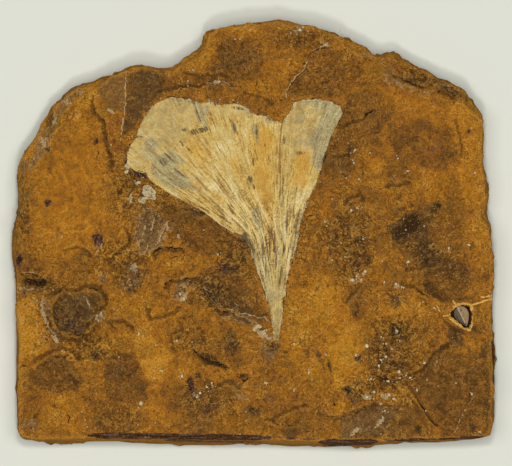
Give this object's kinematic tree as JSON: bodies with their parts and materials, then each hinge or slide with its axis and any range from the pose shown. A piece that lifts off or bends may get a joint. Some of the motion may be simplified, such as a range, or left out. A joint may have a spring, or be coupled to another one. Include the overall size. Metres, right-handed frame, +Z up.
{
  "type": "ginkgo leaf fossil",
  "caption": "Fan-shaped, cleft fossil leaf as a cream film on a flat slab of iron-stained siltstone, with a small seed in a pocket beside it; lies flat on its split back.",
  "frame": {"origin": "middle of the bounding rectangle of the underside, on the plane the slab rests on", "axes": "+X across the slab along its sawn edge, +Y from the sawn edge to the broken top edge, +Z up out of the face that carries the leaf"},
  "size_m": [0.121, 0.107, 0.0159],
  "materials": {
    "siltstone": "matte, iron-stained, slightly gritty",
    "leaf_film": "matte, chalky, finely veined",
    "seed_stone": "dull satin"
  },
  "bodies": {
    "root": {"slab": "siltstone", "leaf": "leaf_film", "seed": "seed_stone"}
  },
  "joints": []
}
